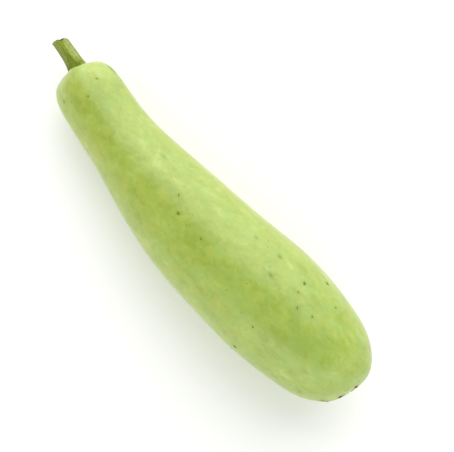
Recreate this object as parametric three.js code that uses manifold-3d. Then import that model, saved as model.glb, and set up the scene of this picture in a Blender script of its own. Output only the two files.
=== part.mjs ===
// A bottle gourd of the long kind, picked young with a stub of its stalk, lying on its belly.
// It is two pieces: the fruit, and the ribbed stem that it hung by.
// Units are millimetres and +Z is up. The origin is on the surface that the gourd lies on, under
// the middle of its length and width, and +X runs from the stem towards the blossom end.
import * as THREE from "three";
import { NURBSCurve } from "three/addons/curves/NURBSCurve.js";
import { mergeVertices } from "three/addons/utils/BufferGeometryUtils.js";
import Module from "manifold-3d";

const wasm = await Module();
wasm.setup();

const FULL_TURN = 2 * Math.PI;
const DEGREE = Math.PI / 180;
const CURVE_DEGREE = 3;

// Control points of the fruit's outline: a distance along its axis and a radius. It runs from
// the floor of the stem's dimple over the shoulder, the neck and the belly to the blossom scar,
// which is a low rim round a shallow dish.
const OUTLINE = [
  [0, 0],
  [0, 5],
  [-0.5, 9],
  [-4.8, 15],
  [4, 26.4],
  [30, 27],
  [62, 27],
  [100, 34],
  [144, 40.4],
  [189, 42.1],
  [234, 46.6],
  [274, 40.8],
  [300, 35],
  [317.5, 20],
  [320, 9],
  [320.5, 6],
  [319, 4],
  [319, 0],
];

// How far the axis bows sideways, as control values spaced evenly over the fruit's length.
const FRUIT_LENGTH = 320;
const BOW = [0, -4, -9, -12, -13, -7, -3, -2, -4];

// The skin's rings lie closer at the stem's end and at the blossom end. Each stretch of the
// outline ends at a share of its curve and holds a number of rings.
const RING_STRETCHES = [
  { end: 0.25, rings: 16 },
  { end: 0.75, rings: 28 },
  { end: 1, rings: 18 },
];
const FRUIT_SIDES = 60;

// Relief of the skin. Angles are taken round the axis, from the +Y side over the top.
const LOBES = 5;
const LOBE_CREST = 100 * DEGREE;
const LOBE_AT_NECK = 0.4;
const LOBE_AT_BELLY = 0.25;
const LOBE_FADE = 120;
const PUCKERS = 10;
const PUCKER_HEIGHT = 0.35;
const PUCKER_RADIUS = 13.5;
const PUCKER_SPREAD = 5;
const PUCKER_REACH = 8;
const SWELL_HEIGHT = 0.25;
const SHORT_SWELL = 23;
const LONG_SWELL = 41;
const SMOOTH_RADIUS = 24;

// The axis rises towards the fuller end, so that the belly under the centre of mass is level,
// and the skin there is pressed a little flat.
const BELLY_TILT = 3.8 * DEGREE;
const FLAT_DEPTH = 0.8;

// The stem, measured from the floor of the dimple to its cut end.
const STEM_LENGTH = 33.8;
const STEM_ROOT = 4;
const STEM_FOOT_ASIDE = 1.5;
const STEM_TIP_ASIDE = -1.2;
const STEM_RISE = 3;
const STEM_TIP_RADIUS = 6;
const STEM_TAPER = 0.3;
const STEM_FLARE = 4.2;
const STEM_FLARE_HEIGHT = 6;
const STEM_RIBS = 5;
const STEM_RIB_HEIGHT = 0.45;
const STEM_RIB_CREST = 60 * DEGREE;
const STEM_CUT_SLANT = 20 * DEGREE;
const STEM_CUT_DISH = 0.9;
const STEM_RINGS = 22;
const STEM_SIDES = 40;
const STEM_GAP = 0.3;

// The rings that close the cut end, from its rim to its middle, as shares of its radius.
const STEM_CUT_RINGS = [0.94, 0.8, 0.5, 0];

const PEEL_GREEN = new THREE.Color(0.47, 0.6, 0.17);
const PEEL_ROUGHNESS = 0.4;
const STEM_GREEN = new THREE.Color(0.27, 0.35, 0.07);
const STEM_ROUGHNESS = 0.7;

// A smooth curve drawn by control points, of which it meets only the first and the last.
function smoothCurve(points) {
  const spans = points.length - CURVE_DEGREE;
  const knots = [];
  for (let i = -CURVE_DEGREE; i <= points.length; i++)
    knots.push(THREE.MathUtils.clamp(i, 0, spans));
  const weighted = points.map(([x, y]) => new THREE.Vector4(x, y, 0, 1));
  return new NURBSCurve(CURVE_DEGREE, knots, weighted);
}

const outline = smoothCurve(OUTLINE);
const bow = smoothCurve(BOW.map((aside) => [0, aside]));

// Where the fruit's axis is at a distance along it, and which way it heads.
function axisAt(along) {
  const asideAt = (distance) => bow.getPoint(distance / FRUIT_LENGTH).y;
  const place = THREE.MathUtils.clamp(along, 0, FRUIT_LENGTH);
  const before = Math.max(place - 1, 0);
  const after = Math.min(place + 1, FRUIT_LENGTH);
  const heading = Math.atan2(asideAt(after) - asideAt(before), after - before);
  return { aside: asideAt(place), heading };
}

// Five broad lobes, strongest at the neck.
function lobes({ along, angle }) {
  const neck = Math.exp(-((along / LOBE_FADE) ** 2));
  const height = THREE.MathUtils.lerp(LOBE_AT_BELLY, LOBE_AT_NECK, neck);
  return height * Math.cos(LOBES * (angle - LOBE_CREST));
}

// The slight unevenness of a thing that grew.
function swells({ along, angle }) {
  const short = Math.sin(along / SHORT_SWELL + 2 * angle);
  const long = Math.sin(along / LONG_SWELL - 3 * angle);
  return SWELL_HEIGHT * (short + long);
}

// Short folds that run out over the shoulder from the foot of the stem.
function puckers({ along, radius, angle }) {
  const ring = Math.exp(-(((radius - PUCKER_RADIUS) / PUCKER_SPREAD) ** 2));
  const shoulder = Math.exp(-((along / PUCKER_REACH) ** 2));
  return PUCKER_HEIGHT * ring * shoulder * Math.cos(PUCKERS * (angle - LOBE_CREST));
}

// A point of the fruit's skin at a share of its outline, raised off it by a clearance.
function skinPoint(share, angle, clearance) {
  const { x: along, y: radius } = outline.getPoint(share);
  const slope = outline.getTangent(share);
  const place = { along, radius, angle };
  const fullness = THREE.MathUtils.smoothstep(radius, 0, SMOOTH_RADIUS);
  const raised = clearance + puckers(place) + fullness * (lobes(place) + swells(place));
  const outwards = radius + slope.x * raised;
  const { aside, heading } = axisAt(along);
  return new THREE.Vector3(
    along - slope.y * raised - outwards * Math.cos(angle) * Math.sin(heading),
    aside + outwards * Math.cos(angle) * Math.cos(heading),
    outwards * Math.sin(angle),
  );
}

// The shares of the outline at which the skin's rings lie.
function ringShares() {
  const shares = [0];
  let start = 0;
  for (const { end, rings } of RING_STRETCHES) {
    for (let ring = 1; ring <= rings; ring++)
      shares.push(THREE.MathUtils.lerp(start, end, ring / rings));
    start = end;
  }
  return shares;
}

// A closed skin over rings of points, of which the first and the last are single points.
// pointAt takes a ring's number and an angle round it.
function ringedGeometry(rings, sides, pointAt) {
  const last = rings - 1;
  const points = [pointAt(0, 0)];
  for (let ring = 1; ring < last; ring++)
    for (let side = 0; side < sides; side++)
      points.push(pointAt(ring, (FULL_TURN * side) / sides));
  points.push(pointAt(last, 0));
  const end = points.length - 1;
  const at = (ring, side) => 1 + (ring - 1) * sides + (side % sides);
  const index = [];
  for (let side = 0; side < sides; side++) {
    index.push(0, at(1, side + 1), at(1, side));
    for (let ring = 1; ring < last - 1; ring++) {
      index.push(at(ring, side), at(ring, side + 1), at(ring + 1, side));
      index.push(at(ring, side + 1), at(ring + 1, side + 1), at(ring + 1, side));
    }
    index.push(at(last - 1, side), at(last - 1, side + 1), end);
  }
  return new THREE.BufferGeometry().setFromPoints(points).setIndex(index);
}

// The skin of the round fruit on its level axis, raised by a clearance.
function skinGeometry(clearance) {
  const shares = ringShares();
  const pointAt = (ring, angle) => skinPoint(shares[ring], angle, clearance);
  return ringedGeometry(shares.length, FRUIT_SIDES, pointAt);
}

// Turns the gourd so that its belly is level, and lowers it until it is pressed a little flat.
function lyingDown() {
  const turn = new THREE.Matrix4().makeRotationY(-BELLY_TILT);
  const skin = skinGeometry(0).applyMatrix4(turn);
  skin.computeBoundingBox();
  const lower = new THREE.Matrix4().makeTranslation(0, 0, -skin.boundingBox.min.z - FLAT_DEPTH);
  return lower.multiply(turn);
}

const lie = lyingDown();

// The stem's centre line, from its root in the fruit to its cut end.
function stemPath() {
  const { heading } = axisAt(0);
  const outwards = new THREE.Vector3(-Math.cos(heading), -Math.sin(heading), 0);
  const sideways = new THREE.Vector3(-Math.sin(heading), Math.cos(heading), 0);
  const floor = new THREE.Vector3(OUTLINE[0][0], BOW[0], 0);
  const at = (height, aside, rise) =>
    floor.clone().addScaledVector(outwards, height).addScaledVector(sideways, aside).setZ(rise);
  const root = at(-STEM_ROOT, STEM_FOOT_ASIDE, 0);
  const middle = at(STEM_LENGTH / 2, STEM_FOOT_ASIDE, 0);
  const tip = at(STEM_LENGTH, STEM_TIP_ASIDE, STEM_RISE);
  return new THREE.QuadraticBezierCurve3(root, middle, tip);
}

// The stem's radius at a height over the dimple's floor, with its ribs and its flared foot.
function stemRadius(height, angle) {
  const above = Math.max(height, 0);
  const flare = STEM_FLARE * Math.exp(-above / STEM_FLARE_HEIGHT);
  const taper = STEM_TAPER * (1 - above / STEM_LENGTH);
  const rib = STEM_RIB_HEIGHT * Math.cos(STEM_RIBS * (angle - STEM_RIB_CREST));
  return STEM_TIP_RADIUS + taper + rib + flare * (1 + rib);
}

// A point of the stem's skin. Its first ring is a point in the fruit, and its last ones close
// the cut end, which slants and is dished.
function stemPoint(path, ring, angle) {
  const share = THREE.MathUtils.clamp((ring - 1) / (STEM_RINGS - 1), 0, 1);
  const centre = path.getPoint(share);
  const heading = path.getTangent(share);
  const side = new THREE.Vector3(0, 0, 1).cross(heading).normalize();
  const up = heading.clone().cross(side);
  const closing = [0, ...Array(STEM_RINGS).fill(1), ...STEM_CUT_RINGS][ring];
  const height = THREE.MathUtils.lerp(-STEM_ROOT, STEM_LENGTH, share);
  const radius = closing * stemRadius(height, angle);
  const slant = share * radius * Math.cos(angle) * Math.tan(STEM_CUT_SLANT);
  const dish = ring > STEM_RINGS ? STEM_CUT_DISH * (1 - closing ** 2) : 0;
  return centre
    .addScaledVector(side, radius * Math.cos(angle))
    .addScaledVector(up, radius * Math.sin(angle))
    .addScaledVector(heading, slant - dish);
}

// A geometry's faces as a solid that can be cut.
function solidOf(geometry) {
  geometry.deleteAttribute("normal");
  geometry.deleteAttribute("uv");
  const merged = mergeVertices(geometry);
  const vertProperties = merged.getAttribute("position").array;
  const triVerts = new Uint32Array(merged.getIndex().array);
  return new wasm.Manifold(new wasm.Mesh({ numProp: 3, vertProperties, triVerts }));
}

// A named mesh of a solid.
function meshOf(name, solid, color, roughness) {
  const { vertProperties, triVerts } = solid.getMesh();
  const geometry = new THREE.BufferGeometry();
  geometry.setAttribute("position", new THREE.BufferAttribute(vertProperties, 3));
  geometry.setIndex(new THREE.BufferAttribute(triVerts, 1));
  geometry.computeVertexNormals();
  const material = new THREE.MeshStandardMaterial({ color, roughness, metalness: 0 });
  const mesh = new THREE.Mesh(geometry, material);
  mesh.name = name;
  return mesh;
}

// The fruit with the flat spot that it rests on.
function fruit() {
  const below = new THREE.BoxGeometry(3 * FRUIT_LENGTH, FRUIT_LENGTH, FRUIT_LENGTH);
  below.translate(0, 0, -FRUIT_LENGTH / 2);
  const round = solidOf(skinGeometry(0).applyMatrix4(lie));
  return meshOf("fruit", round.subtract(solidOf(below)), PEEL_GREEN, PEEL_ROUGHNESS);
}

// The stem, whose foot follows the skin of the dimple that it stands in.
function stem() {
  const path = stemPath();
  const rings = 1 + STEM_RINGS + STEM_CUT_RINGS.length;
  const pointAt = (ring, angle) => stemPoint(path, ring, angle);
  const whole = solidOf(ringedGeometry(rings, STEM_SIDES, pointAt).applyMatrix4(lie));
  const skin = solidOf(skinGeometry(STEM_GAP).applyMatrix4(lie));
  return meshOf("stem", whole.subtract(skin), STEM_GREEN, STEM_ROUGHNESS);
}

const gourd = new THREE.Group();
gourd.add(fruit(), stem());

// Centres the gourd over the origin.
const centre = new THREE.Box3().setFromObject(gourd).getCenter(new THREE.Vector3());
for (const piece of gourd.children) piece.position.set(-centre.x, -centre.y, 0);

export default gourd;
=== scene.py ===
"""A bottle gourd of the long kind, picked young with a stub of its stalk, lying on its belly.

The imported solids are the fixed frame. Each piece here is a finer surface that keeps the form of the
solid that it stands for. Shapes are worked out in millimetres on the fruit's level axis, where a
place on the skin is a reach over it from the stem and an angle round the axis, from the +Y side
over the top. Then they are turned and lowered as the gourd lies, and become metres in a mesh.
"""

import itertools
import logging
import math
from dataclasses import dataclass, field
from enum import Enum

import bpy
import numpy as np
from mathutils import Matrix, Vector


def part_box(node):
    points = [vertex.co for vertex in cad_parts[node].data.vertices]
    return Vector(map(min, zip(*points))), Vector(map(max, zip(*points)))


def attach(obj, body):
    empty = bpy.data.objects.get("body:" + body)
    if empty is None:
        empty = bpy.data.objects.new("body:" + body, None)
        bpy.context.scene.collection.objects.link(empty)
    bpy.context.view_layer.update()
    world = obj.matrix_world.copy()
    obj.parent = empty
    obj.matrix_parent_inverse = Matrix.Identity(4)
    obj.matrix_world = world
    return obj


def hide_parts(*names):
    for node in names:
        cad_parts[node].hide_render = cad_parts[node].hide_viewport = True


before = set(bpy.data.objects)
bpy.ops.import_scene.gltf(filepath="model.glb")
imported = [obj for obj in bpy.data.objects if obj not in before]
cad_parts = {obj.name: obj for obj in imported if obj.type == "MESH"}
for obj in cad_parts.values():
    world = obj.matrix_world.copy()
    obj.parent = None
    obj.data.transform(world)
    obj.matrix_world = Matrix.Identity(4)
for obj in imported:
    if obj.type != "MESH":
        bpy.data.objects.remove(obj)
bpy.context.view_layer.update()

Array = np.ndarray
Triple = tuple[float, float, float]
Colour = Triple

MM = 0.001
FULL_TURN = 2 * math.pi

# Small steps that the skin's directions are measured by: a share of the outline, millimetres over
# the skin, and radians round it.
SHARE_STEP = 1e-4
REACH_STEP = 0.5
ANGLE_STEP = 0.01

log = logging.getLogger("bottle_gourd")


def smooth_curve(points: Array, share: Array) -> Array:
    """Places on a smooth curve drawn by control points, of which it meets the first and the last.

    It is a cubic B-spline with even knots, held at its ends. A control point's weight is built up
    degree by degree: each step shares a weight between two neighbours by how far the place has come
    through the stretch of knots of each.

    Args:
        points: The control points, one a row.
        share: Shares of the curve, from 0 to 1, in an array of any shape.

    Returns:
        A point for each share, along a last axis that is as long as a control point.
    """
    spans = len(points) - 3
    knots = np.clip(np.arange(-3, len(points) + 1), 0, spans)
    place = np.clip(share, 0, 1 - 1e-12)[..., None] * spans
    weights = ((knots[:-1] <= place) & (place < knots[1:])).astype(float)
    for step in (1, 2, 3):
        stretch = np.maximum(knots[step:] - knots[:-step], 1e-9)
        come = (place - knots[:-step]) / stretch
        weights = weights[..., :-1] * come[..., :-1] + weights[..., 1:] * (1 - come[..., 1:])
    return weights @ points


def bell(distance: Array, width: float | Array) -> Array:
    """A height that falls smoothly from 1 at no distance to about a third at the width."""
    return np.exp(-((distance / width) ** 2))


def smooth_noise(points: Array, size: float, seed: int) -> Array:
    """Even random bumps in space.

    A block of random heights repeats through space. The eight heights round a point are blended by
    3t^2 - 2t^3 along each axis, where t is how far the point is across its cell.

    Args:
        points: Points in space, in an array whose last axis is x, y and z.
        size: The width of a bump.
        seed: The seed of the random heights.

    Returns:
        Heights from -1 to 1, one for each point.
    """
    cells = 32
    heights = np.random.default_rng(seed).uniform(-1, 1, (cells, cells, cells))
    cell = np.floor(points / size).astype(int)
    across = points / size - cell
    eased = across * across * (3 - 2 * across)
    total = np.zeros(points.shape[:-1])
    for corner in itertools.product((0, 1), repeat=3):
        weight = np.where(corner, eased, 1 - eased).prod(axis=-1)
        x, y, z = np.moveaxis((cell + corner) % cells, -1, 0)
        total += weight * heights[x, y, z]
    return total


def unit(vectors: Array) -> Array:
    """The same directions with a length of 1."""
    return vectors / np.linalg.norm(vectors, axis=-1, keepdims=True)


def closed_rings(grid: Array) -> tuple[Array, list[list[int]]]:
    """A closed skin over rings of points, whose first and last rings are each a single point.

    Args:
        grid: Points as rings, sides and x, y and z, the sides in the order of their angles.

    Returns:
        The points in one list, and the faces, which point outwards where the rings run along +X.
    """
    rings, sides = grid.shape[:2]
    points = np.concatenate([grid[0, :1], grid[1:-1].reshape(-1, 3), grid[-1, :1]])
    at = 1 + np.arange(rings - 2)[:, None] * sides + np.arange(sides)
    beside = np.roll(at, -1, axis=1)
    corners = [at[:-1], beside[:-1], beside[1:], at[1:]]
    quads = np.stack(corners, axis=-1).reshape(-1, 4)
    first = np.stack([np.zeros(sides, int), beside[0], at[0]], axis=-1)
    last = np.stack([at[-1], beside[-1], np.full(sides, len(points) - 1)], axis=-1)
    return points, [*first.tolist(), *quads.tolist(), *last.tolist()]


def ring_values(values: Array) -> Array:
    """Values on rings and sides in the order of the points of closed_rings."""
    middle = values[1:-1].reshape(-1, *values.shape[2:])
    return np.concatenate([values[0, :1], middle, values[-1, :1]])


def make_piece(
    name: str,
    points: Array,
    faces: list[list[int]],
    material: bpy.types.Material,
    attributes: dict[str, Array] | None = None,
) -> bpy.types.Object:
    """Makes a smooth-shaded mesh object at the origin that rides with the gourd.

    Args:
        name: The piece's name.
        points: Its points, in millimetres as the gourd lies.
        faces: Each face's point numbers.
        material: Its finish.
        attributes: Values at the points by name, numbers or vectors.

    Returns:
        The piece.
    """
    mesh = bpy.data.meshes.new(name)
    mesh.from_pydata((points * MM).tolist(), [], faces)
    for title, values in (attributes or {}).items():
        is_vector = values.ndim == 2
        kind, key = ("FLOAT_VECTOR", "vector") if is_vector else ("FLOAT", "value")
        layer = mesh.attributes.new(title, kind, "POINT")
        layer.data.foreach_set(key, values.astype(np.float32).ravel())
    mesh.shade_smooth()
    mesh.materials.append(material)
    mesh.update()
    piece = bpy.data.objects.new(name, mesh)
    bpy.context.scene.collection.objects.link(piece)
    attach(piece, "root")
    log.info("%s: %d points, %d faces", name, len(points), len(faces))
    return piece


class Wire:
    """A node's output. Python's operators on it add Math nodes."""

    def __init__(self, graph: "Graph", socket: bpy.types.NodeSocket) -> None:
        """Wraps a socket of a graph's node."""
        self.graph = graph
        self.socket = socket

    def math(self, operation: str, first: "Wire | float", second: "Wire | float") -> "Wire":
        """Adds a Math node of two values."""
        return self.graph.node("ShaderNodeMath", {"operation": operation}, {0: first, 1: second})

    def __add__(self, other: "Wire | float") -> "Wire":
        """The sum."""
        return self.math("ADD", self, other)

    __radd__ = __add__

    def __sub__(self, other: "Wire | float") -> "Wire":
        """The difference."""
        return self.math("SUBTRACT", self, other)

    def __rsub__(self, other: "Wire | float") -> "Wire":
        """The difference, the other way round."""
        return self.math("SUBTRACT", other, self)

    def __mul__(self, other: "Wire | float") -> "Wire":
        """The product."""
        return self.math("MULTIPLY", self, other)

    __rmul__ = __mul__

    def swing(self, strength: float) -> "Wire":
        """How far a noise is from its middle, a half, times a strength."""
        return (self - 0.5) * strength


class Graph:
    """The nodes of one procedural material round its Principled shader."""

    def __init__(self, name: str) -> None:
        """Starts a material.

        Args:
            name: The material's name.
        """
        self.material = bpy.data.materials.new(name)
        self.material.use_nodes = True
        self.tree = self.material.node_tree

    def fill(self, node: bpy.types.Node, inputs: dict[str | int, object]) -> None:
        """Sets a node's sockets.

        Args:
            node: The node.
            inputs: A wire, a number, a vector or a colour for each socket's name or number.
        """
        for key, value in inputs.items():
            socket = node.inputs[key]
            if isinstance(value, Wire):
                self.tree.links.new(value.socket, socket)
            elif socket.type == "RGBA":
                socket.default_value = (*value, 1.0)
            else:
                socket.default_value = value

    def node(
        self,
        kind: str,
        settings: dict[str, object],
        inputs: dict[str | int, object],
        output: str | int = 0,
    ) -> Wire:
        """Adds a node.

        Args:
            kind: The node's type.
            settings: Its settings, which are set first.
            inputs: A wire, a number, a vector or a colour for each socket's name or number.
            output: The output that is wanted.

        Returns:
            That output.
        """
        node = self.tree.nodes.new(kind)
        for key, value in settings.items():
            setattr(node, key, value)
        self.fill(node, inputs)
        return Wire(self, node.outputs[output])

    def attribute(self, name: str, output: str = "Fac") -> Wire:
        """The values that the piece's mesh holds under a name."""
        return self.node("ShaderNodeAttribute", {"attribute_name": name}, {}, output)

    def stretched(self, place: Wire, scale: Triple) -> Wire:
        """A place with each of its axes scaled."""
        return self.node("ShaderNodeVectorMath", {"operation": "MULTIPLY"}, {0: place, 1: scale})

    def noise(self, place: Wire, scale: float, detail: float = 2.0, warp: float = 0.0) -> Wire:
        """Smooth noise from 0 to 1, mostly near a half."""
        inputs = {"Vector": place, "Scale": scale, "Detail": detail, "Distortion": warp}
        return self.node("ShaderNodeTexNoise", {}, inputs, "Fac")

    def ramp(self, value: Wire, start: float, end: float, low: float = 0, high: float = 1) -> Wire:
        """Goes smoothly from one value to another as a value goes from a start to an end."""
        inputs = {"Value": value, "From Min": start, "From Max": end, "To Min": low, "To Max": high}
        return self.node("ShaderNodeMapRange", {"interpolation_type": "SMOOTHSTEP"}, inputs)

    def mix(self, share: Wire | float, first: Wire | Colour, second: Wire | Colour) -> Wire:
        """A colour between two, by the share of the second."""
        inputs = {0: share, 6: first, 7: second}
        return self.node("ShaderNodeMix", {"data_type": "RGBA"}, inputs, 2)

    def bump(self, height: Wire, distance: float, normal: Wire | None = None) -> Wire:
        """Adds fine relief.

        Args:
            height: The height, from 0 to 1.
            distance: What a height of 1 stands out by, in metres.
            normal: Another relief that this one lies on.

        Returns:
            The normal of the relief.
        """
        inputs = {"Height": height, "Distance": distance}
        if normal:
            inputs["Normal"] = normal
        return self.node("ShaderNodeBump", {}, inputs, "Normal")

    def paint(self, inputs: dict[str | int, object]) -> bpy.types.Material:
        """Sets the Principled shader's sockets, and returns the material."""
        self.fill(self.tree.nodes["Principled BSDF"], inputs)
        return self.material


@dataclass(frozen=True)
class PeelFinish:
    """Satin green skin: cloudy mottling, pale flecks, dark pores, and dry skin on the scar.

    A scale is how fine a noise is, a strength how far it moves the shade or the tint, and a share
    how much of a colour shows where it shows most. Relief is in metres.
    """

    olive: Colour = (0.285, 0.395, 0.022)
    green: Colour = (0.350, 0.470, 0.048)
    pale: Colour = (0.430, 0.555, 0.105)
    cool: Colour = (0.305, 0.485, 0.088)
    warm: Colour = (0.450, 0.500, 0.060)
    fleck: Colour = (0.500, 0.610, 0.190)
    pore: Colour = (0.160, 0.240, 0.020)
    # The colour of the smudges, and of the painted shade on the lower edge by the blossom end.
    bruise_and_edge_shade: Colour = (0.160, 0.230, 0.008)
    dry: Colour = (0.125, 0.108, 0.026)
    husk: Colour = (0.310, 0.285, 0.090)
    drawn_out: Triple = (0.75, 1.0, 1.0)
    cloud_scale: float = 62.0
    cloud_strength: float = 2.5
    mottle_scale: float = 200.0
    mottle_strength: float = 1.7
    mottle_relief: float = 0.0003
    tint_scale: float = 115.0
    tint_share: float = 0.38
    warmth_strength: float = 0.2
    fleck_scale: float = 330.0
    fleck_share: float = 0.14
    pore_scale: float = 240.0
    pore_share: float = 0.35
    grain_scale: float = 1400.0
    grain_relief: float = 0.00005
    roughness: float = 0.40
    cloud_roughness: float = 0.12
    scar_roughness: float = 0.35
    bruise_roughness: float = 0.3
    coat: float = 0.7
    scar_coat_loss: float = 0.6
    bruise_coat_loss: float = 0.65
    coat_roughness: float = 0.34
    depth_share: float = 0.08
    depth_radius: Triple = (0.004, 0.006, 0.002)

    def material(self) -> bpy.types.Material:
        """Builds the finish from the skin's unbent place, colour patches, warmth, bruising and scar.

        The colour patches are partly painted light and shade, and the bruising holds the painted shade
        of the blossom end's lower edge.

        Returns:
            The material.
        """
        graph = Graph("satin_peel")
        place = graph.attribute("unbent", "Vector")
        drawn_out = graph.stretched(place, self.drawn_out)
        clouds = graph.noise(drawn_out, self.cloud_scale, detail=4.0, warp=0.8)
        mottle = graph.noise(drawn_out, self.mottle_scale, detail=3.0, warp=0.6)
        shade = clouds.swing(self.cloud_strength) + mottle.swing(self.mottle_strength)
        # The colour patches read here are partly the skin's streaks and partly painted shade and
        # painted highlight.
        shade = shade - graph.attribute("tone_and_shade")
        colour = graph.mix(graph.ramp(shade, start=-0.75, end=0.05), self.olive, self.green)
        colour = graph.mix(graph.ramp(shade, start=-0.05, end=0.75), colour, self.pale)
        tint = graph.noise(drawn_out, self.tint_scale, detail=3.0, warp=0.5)
        tint = tint - graph.attribute("warmth") * self.warmth_strength
        for end, hue in ((0.70, self.cool), (0.30, self.warm)):
            share = graph.ramp(tint, start=0.50, end=end, high=self.tint_share)
            colour = graph.mix(share, colour, hue)
        specks = graph.noise(drawn_out, self.fleck_scale, detail=1.0)
        flecks = graph.ramp(specks, start=0.62, end=0.74)
        colour = graph.mix(flecks * self.fleck_share, colour, self.fleck)
        colour = graph.mix(self.pores(graph, place) * self.pore_share, colour, self.pore)
        # The smudges, with the painted shade on the lower edge by the blossom end, take their colour
        # here.
        bruise_and_edge_shade = graph.attribute("bruise_and_edge_shade")
        colour = graph.mix(bruise_and_edge_shade, colour, self.bruise_and_edge_shade)
        scar = graph.attribute("scar")
        grain = graph.noise(place, self.grain_scale)
        crust = graph.ramp(grain + scar * 0.25, start=0.45, end=0.85)
        colour = graph.mix(scar, colour, graph.mix(crust, self.husk, self.dry))
        roughness = self.roughness + clouds.swing(self.cloud_roughness)
        roughness = roughness + scar * self.scar_roughness + bruise_and_edge_shade * self.bruise_roughness
        relief = graph.bump(mottle, self.mottle_relief)
        return graph.paint(
            {
                "Base Color": colour,
                "Roughness": roughness,
                "Normal": graph.bump(grain, self.grain_relief, relief),
                "Coat Weight": self.coat - scar * self.scar_coat_loss - bruise_and_edge_shade * self.bruise_coat_loss,
                "Coat Roughness": self.coat_roughness,
                "Subsurface Weight": self.depth_share,
                "Subsurface Radius": self.depth_radius,
                "Subsurface Scale": 1.0,
            }
        )

    def pores(self, graph: Graph, place: Wire) -> Wire:
        """Tiny dark pores: the middles of some of the cells of a random net.

        Args:
            graph: The material's nodes.
            place: The unbent place on the skin.

        Returns:
            1 on a pore and 0 off it.
        """
        cells = {"Vector": place, "Scale": self.pore_scale}
        distance = graph.node("ShaderNodeTexVoronoi", {}, cells, "Distance")
        draw = graph.node("ShaderNodeTexVoronoi", {}, cells, "Color")
        return graph.ramp(distance, start=0.17, end=0.06) * graph.ramp(draw, start=0.60, end=0.66)


@dataclass(frozen=True)
class StalkFinish:
    """Fibrous matt stalk: streaks and blotches along it, painted light and shade, dull sides and a
    dried cut.

    Scales, strengths and shares are as in the peel's finish. Relief is in metres.
    """

    # The shaded colour is painted shade and the pale one mostly painted highlight, with plain green
    # between them.
    shaded: Colour = (0.135, 0.190, 0.002)
    green: Colour = (0.240, 0.305, 0.026)
    pale: Colour = (0.430, 0.505, 0.145)
    dull: Colour = (0.265, 0.305, 0.080)
    cut: Colour = (0.360, 0.350, 0.150)
    dried: Colour = (0.016, 0.018, 0.004)
    streak_scale: float = 900.0
    streak_strength: float = 0.8
    streak_relief: float = 0.0003
    blotch_scale: float = 600.0
    blotch_shortening: Triple = (9.0, 1.0, 1.0)
    blotch_strength: float = 2.5
    dull_share: float = 0.75
    ragged_drying: float = 0.3
    roughness: float = 0.62
    streak_roughness: float = 0.2
    gloss: float = 0.2
    depth_share: float = 0.04
    depth_radius: Triple = (0.002, 0.003, 0.001)

    def material(self) -> bpy.types.Material:
        """Builds the finish from the stalk's own fibres, its painted light and shade, and its dull,
        cut and dried places.

        Returns:
            The material.
        """
        graph = Graph("fibrous_stalk")
        fibre = graph.attribute("fibre", "Vector")
        streaks = graph.noise(fibre, self.streak_scale, detail=3.0)
        short = graph.stretched(fibre, self.blotch_shortening)
        blotches = graph.noise(short, self.blotch_scale, detail=3.0)
        # The light attribute is painted highlight and painted shade, with the streaks and blotches
        # over it.
        shade = graph.attribute("light") + streaks.swing(self.streak_strength)
        shade = shade + blotches.swing(self.blotch_strength)
        colour = graph.mix(graph.ramp(shade, start=-1.0, end=0.0), self.shaded, self.green)
        colour = graph.mix(graph.ramp(shade, start=0.0, end=1.0), colour, self.pale)
        colour = graph.mix(graph.attribute("dull") * self.dull_share, colour, self.dull)
        colour = graph.mix(graph.attribute("cut"), colour, self.cut)
        dried = graph.attribute("dried") + streaks.swing(self.ragged_drying)
        colour = graph.mix(graph.ramp(dried, start=0.3, end=0.75), colour, self.dried)
        return graph.paint(
            {
                "Base Color": colour,
                "Roughness": self.roughness + streaks.swing(self.streak_roughness),
                "Normal": graph.bump(streaks, self.streak_relief),
                "Specular IOR Level": self.gloss,
                "Subsurface Weight": self.depth_share,
                "Subsurface Radius": self.depth_radius,
                "Subsurface Scale": 1.0,
            }
        )


@dataclass(frozen=True)
class ScabFinish:
    """Dry olive and brown scabs of healed scratches and pricks, black crusts and pale flakes."""

    olive: Colour = (0.165, 0.235, 0.015)
    brown: Colour = (0.195, 0.225, 0.024)
    crust: Colour = (0.030, 0.042, 0.005)
    flake: Colour = (0.640, 0.700, 0.240)
    draw_scale: float = 90.0
    grain_scale: float = 2500.0
    grain_relief: float = 0.0001
    roughness: float = 0.75
    grain_roughness: float = 0.2
    gloss: float = 0.25

    def material(self) -> bpy.types.Material:
        """Builds the finish, with a colour that differs from scab to scab and by its age.

        Returns:
            The material.
        """
        graph = Graph("dry_scab")
        place = graph.node("ShaderNodeTexCoord", {}, {}, "Object")
        draw = graph.noise(place, self.draw_scale, detail=1.0)
        grain = graph.noise(place, self.grain_scale)
        colour = graph.mix(graph.ramp(draw, start=0.4, end=0.6), self.olive, self.brown)
        age = graph.attribute("age")
        colour = graph.mix(graph.ramp(age, start=0.0, end=-1.0), colour, self.flake)
        return graph.paint(
            {
                "Base Color": graph.mix(age, colour, self.crust),
                "Roughness": self.roughness + grain.swing(self.grain_roughness),
                "Normal": graph.bump(grain, self.grain_relief),
                "Specular IOR Level": self.gloss,
            }
        )


@dataclass(frozen=True)
class DownFinish:
    """Fine pale hairs."""

    root: Colour = (0.420, 0.500, 0.190)
    tip: Colour = (0.700, 0.740, 0.520)
    roughness: float = 0.6

    def material(self) -> bpy.types.Material:
        """Builds the finish, paler towards a hair's tip.

        Returns:
            The material.
        """
        graph = Graph("pale_down")
        colour = graph.mix(graph.attribute("tip"), self.root, self.tip)
        return graph.paint({"Base Color": colour, "Roughness": self.roughness})


@dataclass(frozen=True)
class Patch:
    """A soft patch of colour on the skin: its place, its half sizes and how strong it is."""

    reach: float
    angle: float
    length: float
    width: float
    depth: float


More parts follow.
